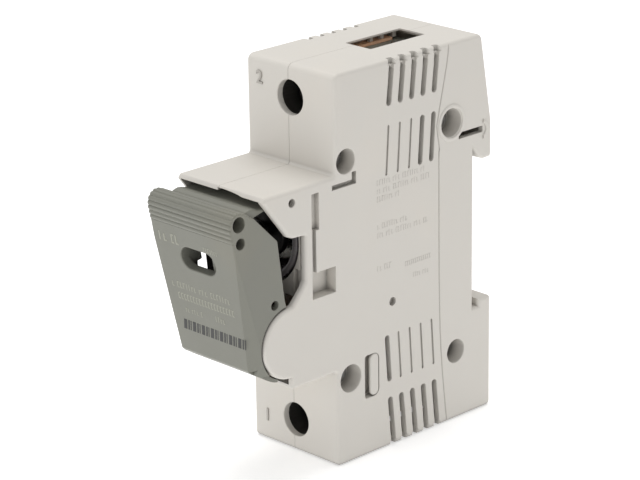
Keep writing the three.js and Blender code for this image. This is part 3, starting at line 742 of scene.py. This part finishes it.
def lever_profile():
    """The side outline, with rounded grip ridges rolled over the lip."""
    lip = [(front_y(59.4), 59.4), (front_y(60.2), 60.2), (-29.95, 61.3), (-30.2, 62.9), (-30.0, 64.2), (-29.35, 65.15), (-28.3, 65.7), (-27.1, 65.7), (-25.9, 65.25), (-24.7, 64.5)]
    dense = smooth_line(lip, 14)
    total = sum(math.dist(a, b) for a, b in zip(dense, dense[1:]))
    count = 10
    out = []
    run = 0.0
    last = dense[0]
    for i, p in enumerate(dense):
        run += math.dist(last, p)
        last = p
        a = Vector(dense[max(0, i - 1)])
        b = Vector(dense[min(len(dense) - 1, i + 1)])
        d = (b - a).normalized()
        nrm = Vector((-d.y, d.x))
        t = run / total * count
        h = abs(math.sin(math.pi * t)) ** 0.7 * 0.26 - 0.10
        if i in (0, len(dense) - 1):
            h = 0.0
        out.append((p[0] + nrm.x * h, p[1] + nrm.y * h))
    tail = [(PIVOT[0] + r * math.cos(math.radians(a)), PIVOT[1] + r * math.sin(math.radians(a))) for a, r in ((250, 9.1), (243, 9.25), (236.3, 9.37), (230, 9.5), (223.7, 9.69), (217, 10.05), (212, 10.45))]
    rest = [(-23.9, 64.0), (-23.2, 63.6, 0.3), (-16.7, 57.1, 0.9), (-14.8, 43.0), *arc(EAR_R + 0.3, 96, 250, 40), *tail, (-23.85, 28.7, 1.2)]
    return out + rest


def lever():
    s = prism("lever", "x", lever_profile(), -13, 13, 0.35, 0.35, seg=3, n=8)
    hollow = [(front_y(60.8) + 2.1, 60.8, 0.8), (-24.6, 62.2), (-17.0, 57.9), (-5, 57.9), (-5, 20), (-12, 20), *arc(EAR_R + 0.3, 251, 186, 16), (front_y(36) + 2.1, 36)]
    tools = [("DIFFERENCE", prism("c", "x", hollow, -11.8, 11.8))]
    shield = [(-26.4, 63.6), (-24.3, 65.0, 0.8), (-23.2, 65.3, 0.6), (-22.2, 65.2, 1.2), (-21.0, 64.85, 0.8), (-19.5, 64.94), (-17.5, 65.25), (-15.2, 65.45, 0.4),
              (-15.2, 64.25, 0.4), (-17.5, 64.04), (-19.5, 63.72), (-21.5, 63.25), (-23.0, 62.6), (-24.2, 62.3), (-26.6, 61.8)]
    tools.append(("UNION", prism("c", "x", shield, -11.5, 11.5, 0.5, 0.5, seg=4)))
    for x0, x1 in ((-11.9, -5.9), (5.9, 11.9)):
        tools.append(("UNION", prism("c", "x", circle(-27.35, 59.1, 2.1, 36), x0, x1)))
    for x0, x1 in ((-11.3, -9.2), (9.2, 11.3)):
        tools.append(("UNION", prism("c", "x", circle(*PIVOT, 6.6, 56), x0, x1, 0.2, 0.2, seg=2)))
        tools.append(("UNION", prism("c", "x", [(front_y(41) + 0.8, 41), (front_y(30.5) + 0.8, 30.5), (-13.5, 28.5), (-13.5, 41)], x0 + 0.01, x1 - 0.01)))
    tools.append(("DIFFERENCE", prism("c", "x", circle(*PIVOT, 1.8, 32), -14, 14)))
    boolean(s, tools)
    tools = []
    for k in (-1, 1):
        x0, x1 = (-15, -11.8) if k < 0 else (11.8, 15)
        t = prism("c", "x", [(-21.2, 27.45), (-19.8, 20), (-8, 20), (-8, 27.45)], x0, x1)
        tools.append(("DIFFERENCE", t))
        # facet of the front edge, widening downwards
        y58, y26 = front_y(58), front_y(26)
        pts = [(13.001, y58, 58), (10.2, y26, 26), (13.001, y26 + 3.4, 26), (17, y26 + 3.4, 26), (17, y58, 58), (10.2, y26 - 4, 26), (17, y26 - 4, 26), (13.001, y58 - 4, 58), (17, y58 - 4, 58)]
        bm = bmesh.new()
        vs = [bm.verts.new((k * p[0], p[1], p[2])) for p in pts]
        bmesh.ops.convex_hull(bm, input=vs)
        tools.append(("DIFFERENCE", make("c", bm)))
        lo, hi = (-13, None), (13, None)
        surf = 13 * k
        tools.append(("DIFFERENCE", pocket("c", "x", circle(-27.7, 63.4, 1.7, 40), surf - 8 * k, surf, 0.14)))
        tools.append(("DIFFERENCE", pocket("c", "x", circle(-27.35, 59.1, 1.25, 36), surf - 6 * k, surf, 0.14)))
        tools.append(("DIFFERENCE", pocket("c", "x", circle(-17.9, 42.9, 1.05, 32), surf - 3 * k, surf, 0.14)))
        # rounded lower corner of the front plate
        edge = [(k * (10.4 + 2.6 * math.cos(math.radians(t))), 31.3 - 2.6 * math.sin(math.radians(t))) for t in range(0, 91, 6)]
        corner = prism("c", "y", [(k * 10.4, 24), (k * 15, 24), (k * 15, 31.3)] + edge, -34, -22.2)
        tools.append(("DIFFERENCE", corner))
    boolean(s, tools)
    cut(s, prism("c", "x", [(-17.3, 43.6, 0.6), (-11, 43.6), (-11, 58.6), (-17.9, 58.6, 0.6)], -15, -11.6))
    # behind the window: a wall on its left and a short rib on its right
    tube = block("c", -6.2, -4.75, 1.2, 5.5, -3.1, 3.1, 0.2)
    stop = block("c", 3.0, 7.2, 1.9, 3.0, -3.4, 3.4)
    for t in (tube, stop):
        t.data.transform(Matrix.Translation((0, front_y(52.5), 52.5)) @ Matrix.Rotation(math.radians(10.49), 4, "X"))
    add(s, tube)
    # indicator window, cut square to the sloping face
    w = pocket("c", "y", [(p[0] + 0.5, p[1]) for p in wide_stadium(5.4, 2.6)], 9.0, 0.0, 0.3, over=3.0)
    w.data.transform(Matrix.Translation((0, front_y(52.5), 52.5)) @ Matrix.Rotation(math.radians(10.49), 4, "X"))
    cut(s, w)
    add(s, stop)
    return s


def wide_stadium(hw, hh):
    pts = []
    for k in range(17):
        t = -math.pi / 2 + math.pi * k / 16
        pts.append((hw - hh + hh * math.cos(t), hh * math.sin(t)))
    for k in range(17):
        t = math.pi / 2 + math.pi * k / 16
        pts.append((-(hw - hh) + hh * math.cos(t), hh * math.sin(t)))
    return pts


handle = lever()
piece(handle, "lever", "handle_lever", MAT["lever_plastic"], 30)


def on_front(a, b, l):
    """A place on the lever's sloping face: a across, b up, l out of it."""
    return (a, front_y(b) - l, b - l * 0.18)


bm = bmesh.new()
for k in range(7):
    u0 = -8.4 + k * 2.86
    drop = 0.0
    for a0, a1, b0, b1, s0, s1 in ((0.0, 0.95, 0.0, 2.4, 0.0, 0.5), (1.35, 1.8, 0.0, 2.4, 0.0, 0.5), (2.1, 2.35, 0.0, 2.4, 0.0, 0.5)):
        v = 34.25
        quad = ((u0 + a0 + s0, v + b0), (u0 + a1 + s0, v + b0), (u0 + a1 + s1, v + b1), (u0 + a0 + s1, v + b1))
        vs = [bm.verts.new(on_front(a, b, l)) for l in (-0.05, 0.04) for a, b in quad]
        for q in ((0, 3, 2, 1), (4, 5, 6, 7), (0, 1, 5, 4), (1, 2, 6, 5), (2, 3, 7, 6), (3, 0, 4, 7)):
            bm.faces.new([vs[i] for i in q])
piece(make("lever_stripe", bm), "lever", None, PRINT)
lever_rows = [(-11.0, -4.4, 55.0, 2.2, 3), (3.0, 7.6, 55.4, 1.1, 6), (-9.6, 8.6, 44.3, 1.5, 2), (-8.2, 10.2, 41.6, 1.6, 5), (-6.6, -1.0, 38.7, 1.2, 4), (3.0, 7.0, 38.8, 1.4, 7)]
piece(dashes("lever_marking", lever_rows, lambda a, b, l: on_front(a, b, l * 0.5)), "lever", None, FAINT)


# ------------------------------------------------------------------ black base and socket ring
base = prism("fuse_base_block", "x", [(-9, 41.6, 0.4), (31, 41.6, 0.4), (31, 65.6, 0.4), (-9, 65.6, 0.4)], -11.6, 11.6, 0.3, 0.3, seg=2)
tools = [
    ("DIFFERENCE", pocket("c", "y", circle(0, FUSE_Z, 11.2, 96), -5.0, -9.0, 0.2)),
    ("DIFFERENCE", prism("c", "y", circle(0, FUSE_Z, 10.9, 96), -5.1, 18)),
    ("DIFFERENCE", prism("c", "y", circle(0, FUSE_Z, 8.1, 64), 17.9, 26.2)),
    ("DIFFERENCE", prism("c", "y", circle(0, FUSE_Z, 8.9, 64), 26.1, 29.5)),
    ("DIFFERENCE", prism("c", "y", circle(0, FUSE_Z, 5.6, 48), 29.4, 32)),
    ("DIFFERENCE", block("c", -1.5, 1.5, -10, -1, 40, 47)),
    ("DIFFERENCE", block("c", 9.6, 14, -10, 0.8, 40, 48.2)),
    ("DIFFERENCE", block("c", -14, -9.6, -10, 0.8, 40, 48.2)),
]
boolean(base, tools)
piece(base, "housing", "fuse_base", MAT["base_plastic"])

ring = ring_solid("socket_ring_moulding", "y", (0, FUSE_Z), [
    (-8.3, 10.6), (-8.7, 10.5), (-8.95, 10.2), (-9.0, 9.9), (-9.0, 9.5), (-8.85, 9.2), (-8.2, 8.7), (-7.0, 8.3), (-6.2, 8.2), (17.7, 8.2), (17.7, 10.6)], 96)
cut(ring, block("c", -1.4, 1.4, -10, -0.5, 41, 48))
piece(ring, "housing", "socket_ring", MAT["ring_plastic"])

# ------------------------------------------------------------------ cartridge
body = lathe("cartridge_body", "y", (0, FUSE_Z), [(-2.0, 0), (-2.0, 6.9), (-1.8, 7.35), (-1.3, 7.62), (-1.0, 7.65), (25.0, 7.65), (25.3, 7.62), (25.8, 7.35), (26.0, 6.9), (26.0, 0)])
piece(body, "cartridge", "fuse_body", MAT["ceramic"])
cap = ring_solid("cartridge_front_cap", "y", (0, FUSE_Z), [(-4.05, 7.05), (-4.25, 6.9), (-4.3, 6.6), (-4.3, 2.1), (-4.2, 1.9), (-4.0, 1.8), (-2.3, 1.8), (-2.3, 7.1), (-2.9, 7.1), (-3.0, 7.0), (-3.2, 7.0), (-3.3, 7.1), (-3.9, 7.1)], 64)
piece(cap, "cartridge", "fuse_front_cap", MAT["silver_plate"])
ind = lathe("cartridge_indicator", "y", (0, FUSE_Z), [(-2.3, 0), (-2.3, 1.4), (-3.9, 1.4), (-4.05, 1.25), (-4.1, 0.9), (-4.1, 0)], 32)
piece(ind, "cartridge", "fuse_indicator", MAT["red_plastic"])
foot = lathe("cartridge_foot", "y", (0, FUSE_Z), [(26.3, 0), (26.3, 5.0), (31.2, 5.0), (31.5, 4.85), (31.7, 4.5), (31.7, 0)], 48)
piece(foot, "cartridge", "fuse_rear_cap", MAT["silver_plate"])


# ------------------------------------------------------------------ clamp screws
def screw(name, zc):
    s = lathe(name, "y", (0, zc), [
        (6.9, 0), (6.6, 1.2), (6.15, 2.2), (6.0, 3.0), (6.08, 3.3), (6.3, 3.5), (8.8, 3.5), (9.0, 3.3), (9.0, 2.3)]
        + [q for k in range(14) for q in ((9.3 + k, 1.85), (9.8 + k, 2.25))] + [(23.1, 1.9), (23.2, 1.6), (23.2, 0)], 48)
    tools = []
    for ang in (45, 135):
        t = block("c", -0.55, 0.55, 5, 7.9, -2.5, 2.5)
        t.data.transform(Matrix.Translation((0, 0, zc)) @ Matrix.Rotation(math.radians(ang), 4, "Y"))
        tools.append(("DIFFERENCE", t))
    t = block("c", -0.45, 0.45, 5, 7.5, -4, 4)
    t.data.transform(Matrix.Translation((0, 0, zc)) @ Matrix.Rotation(math.radians(90), 4, "Y"))
    tools.append(("DIFFERENCE", t))
    boolean(s, tools)
    return s


# the clamp screws take the steel darkened as painted shade
for side, zc in SCREW_Z.items():
    piece(screw(f"{side}_terminal_screw", zc), f"{side}_screw", f"{side}_clamp_screw", DARK_STEEL_AND_SHADE)

# ------------------------------------------------------------------ rivets, plugs, clip
for where, (y, z, r, boss) in RIVETS.items():
    ob = lathe(f"rivet_head_{where}", "x", (y, z), [(-10.4, 0), (-10.38, 0.8), (-10.25, 1.5), (-9.95, 2.05), (-9.6, 2.2), (-9.3, 2.2), (-9.3, 1.0), (9.3, 1.0), (9.3, 2.2), (9.6, 2.2), (9.95, 2.05), (10.25, 1.5), (10.38, 0.8), (10.4, 0)], 40)
    piece(ob, "housing", f"rivet_{where}", MAT["spring_steel"])
for k, name in ((1, "right"), (-1, "left")):
    pts = stadium(10.4, 13.03, 13.68, 23.72)
    lo, hi = (12.8, 13.4) if k > 0 else (-13.4, -12.8)
    ob = prism(f"plug_{name}", "x", pts, lo, hi, 0 if k > 0 else 0.35, 0.35 if k > 0 else 0, seg=4)
    piece(ob, "housing", f"coupling_plug_{name}", MAT["housing_plastic"])
clip = prism("rail_clip", "x", [(44.8, 0.5, 0.3), (47.9, 0.5, 0.3), (47.9, 26.2), (47.2, 27.0, 0.3), (45.9, 27.0, 0.2), (45.9, 24.6), (44.8, 24.6, 0.2)], -7.2, 7.2, 0.3, 0.3, seg=3)
cut(clip, block("c", -2.3, 2.3, 43, 50, 9, 20), block("c", -3, 3, 47, 49, 2.4, 5.2, 0.3))
piece(clip, "rail_clip", "din_clip", MAT["clip_plastic"])


# ------------------------------------------------------------------ springs and pins
def coil(name, radius, wire, length, turns, axis, at):
    steps = int(turns * 40)
    f = {"x": lambda a, b, t: (t, a, b), "y": lambda a, b, t: (a, t, b), "z": lambda a, b, t: (a, b, t)}[axis]
    bm = bmesh.new()
    rows = []
    for i in range(steps + 1):
        t = i / steps
        a = 2 * math.pi * turns * t
        c = Vector((radius * math.cos(a), radius * math.sin(a), length * t))
        rad = Vector((math.cos(a), math.sin(a), 0))
        tan = Vector((-radius * math.sin(a) * 2 * math.pi * turns, radius * math.cos(a) * 2 * math.pi * turns, length)).normalized()
        up = tan.cross(rad).normalized()
        row = []
        for k in range(12):
            b = 2 * math.pi * k / 12
            p = c + rad * (wire * math.cos(b)) + up * (wire * math.sin(b))
            q = f(p.x, p.y, p.z)
            row.append(bm.verts.new((q[0] + at[0], q[1] + at[1], q[2] + at[2])))
        rows.append(row)
    for r0, r1 in zip(rows, rows[1:]):
        for k in range(12):
            j = (k + 1) % 12
            bm.faces.new((r0[k], r0[j], r1[j], r1[k]))
    bm.faces.new(rows[0][::-1])
    bm.faces.new(rows[-1])
    return make(name, bm)


piece(coil("rear_spring", 2.8, 0.42, 2.1, 1.6, "y", (0, 33.95, FUSE_Z)), "housing", "rear_contact_spring", MAT["spring_steel"])
piece(coil("pivot_spring", 2.35, 0.28, 4.4, 5, "x", (3, PIVOT[0], PIVOT[1])), "housing", "lever_torsion_spring", MAT["spring_steel"])
piece(coil("clip_spring", 1.15, 0.26, 5.2, 5, "z", (0.3, 46.35, 13.7)), "housing", "din_clip_spring", MAT["spring_steel"])
# the contact spring and cap take the silver darkened as painted shade
piece(spin_x(coil("contact_spring", 3.1, 0.38, 6.6, 3.5, "y", (0, -14.0, FUSE_Z)), REST_OPEN), "lever", "lever_contact_spring", SHADED_SILVER)

ccap = ring_solid("contact_cap", "y", (0, FUSE_Z), [(-4.6, 1.2), (-4.6, 5.9), (-4.75, 6.2), (-5.0, 6.3), (-6.3, 6.3), (-6.55, 6.15), (-6.6, 5.9), (-6.6, 1.9), (-19.4, 1.9), (-19.6, 1.75), (-19.6, 1.2), (-19.5, 1.1), (-4.75, 1.1)], 64)
piece(spin_x(ccap, REST_OPEN), "lever", "lever_contact_cap", SHADED_SILVER)
carrier = prism("carrier", "x", [(-17.5, 44.5, 0.4), (-14.8, 44.5, 0.4), (-14.8, 56.4, 0.3), (-15.5, 57.2, 0.3), (-17.5, 57.2, 0.3)], -7.2, 7.2, 0.4, 0.4, seg=3)
cut(carrier, prism("c", "y", circle(0, FUSE_Z, 2.3, 40), -19, -13), block("c", -1.05, 1.05, -19, -13, 43, 49))
piece(spin_x(carrier, REST_OPEN), "lever", "contact_carrier", CARRIER)
blade = prism("blade", "x", [(-15.5, 48.7, 0.5), (-13.0, 48.7, 0.5), (-11.2, 40.0, 2.0), (-6.5, 37.0, 2.0), (-3.0, 35.5, 0.6), (-3.0, 29.2, 0.6), (-8.0, 29.2, 1.0), (-10.6, 30.8, 1.0), (-10.9, 36.4, 1.5), (-13.4, 39.0, 1.5)], -0.75, 0.75, 0.15, 0.15, seg=2)
piece(spin_x(blade, REST_OPEN), "lever", "moving_contact_blade", MAT["silver_plate"])
pin = lathe("pivot_pin", "x", PIVOT, [(-12.5, 0), (-12.5, 1.2), (-12.3, 1.45), (-12.1, 1.5), (12.1, 1.5), (12.3, 1.45), (12.5, 1.2), (12.5, 0)], 32)
piece(pin, "housing", "lever_pivot_pin", MAT["spring_steel"])

# ------------------------------------------------------------------ carried-over CAD nodes
CARRY = {
    "gauge_ring": "red_plastic", "rear_contact": "silver_plate", "upper_busbar": "copper", "lower_busbar": "copper", "fixed_jaw_contact": "silver_plate",
    "upper_clamp_cage": "zinc_steel", "upper_clamp_plate": "zinc_steel", "lower_clamp_cage": "zinc_steel", "lower_clamp_plate": "zinc_steel",
    # the screw sleeves take the near-black plastic as painted shade for the dark inside of the holes
    "upper_screw_sleeve": "black_plastic", "lower_screw_sleeve": "black_plastic",
}
for node, slot in CARRY.items():
    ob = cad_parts.get(node)
    if ob is not None:
        ob.data.materials.clear()
        ob.data.materials.append(MAT[slot])

# ------------------------------------------------------------------ stage, lights, camera
bm = bmesh.new()
bmesh.ops.create_grid(bm, x_segments=1, y_segments=1, size=6.0)
for v in bm.verts:
    v.co.z = -0.0451
floor = make("studio_floor", bm)
fm, nt, bsdf, vec = nodes_of("floor_paper")
fn = noise(nt, vec, 9.0, 4.0, 0.5)
nt.links.new(ramp(nt, fn, [(0.3, (0.90, 0.90, 0.90)), (0.7, (0.93, 0.93, 0.93))]), bsdf.inputs["Base Color"])
nt.links.new(span(nt, noise(nt, vec, 2200.0, 3.0, 0.6), 0.3, 0.7, 0.75, 0.9), bsdf.inputs["Roughness"])
nt.links.new(ramp(nt, fn, [(0.3, (0.97, 0.97, 0.97)), (0.7, (1.0, 1.0, 1.0))]), bsdf.inputs["Emission Color"])
bsdf.inputs["Emission Strength"].default_value = 0.39
floor.data.materials.append(fm)
floor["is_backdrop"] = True

world = bpy.data.worlds.new("studio")
scene.world = world
world.use_nodes = True
bg = world.node_tree.nodes["Background"]
bg.inputs[0].default_value = (1.0, 1.0, 1.0, 1)
bg.inputs[1].default_value = 0.585


def area(name, loc, target, size, power, col=(1, 1, 1)):
    li = bpy.data.lights.new(name, "AREA")
    li.shape = "SQUARE"
    li.size = size
    li.energy = power
    li.color = col
    ob = bpy.data.objects.new(name, li)
    scene.collection.objects.link(ob)
    ob.location = loc
    ob.rotation_mode = "QUATERNION"
    ob.rotation_quaternion = (Vector(target) - Vector(loc)).to_track_quat("-Z", "Y")
    return ob


area("overhead", (-0.14, 0.02, 0.75), (0, -0.02, 0), 0.6, 3.4, (1.0, 0.99, 0.975))
area("right_fill", (0.80, -0.10, 0.25), (0, -0.02, 0), 0.5, 0.04, (1.0, 0.985, 0.97))
area("front_fill", (-0.15, -0.85, 0.20), (0, -0.02, 0), 0.5, 0.7, (0.98, 0.99, 1.0))

cam_data = bpy.data.cameras.new("camera")
cam = bpy.data.objects.new("camera", cam_data)
scene.collection.objects.link(cam)
cam_data.sensor_width = 36.0
cam_data.lens = 2679.424 * 36.0 / 640.0
cam_data.clip_start, cam_data.clip_end = 0.02, 40.0
az, el, roll = math.radians(45.702), math.radians(19.154), math.radians(-0.877)
back = Vector((math.sin(az) * math.cos(el), -math.cos(az) * math.cos(el), math.sin(el)))
side_v = Vector((math.cos(az), math.sin(az), 0))
up_v = back.cross(side_v)
r2 = side_v * math.cos(roll) + up_v * math.sin(roll)
u2 = up_v * math.cos(roll) - side_v * math.sin(roll)
cam.matrix_world = Matrix((
    (r2.x, u2.x, back.x, 0.400944),
    (r2.y, u2.y, back.y, -0.382835 - 0.044),
    (r2.z, u2.z, back.z, 0.242502 - 0.045),
    (0, 0, 0, 1)))
scene.camera = cam
scene.view_settings.view_transform = "Standard"

lo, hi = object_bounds()
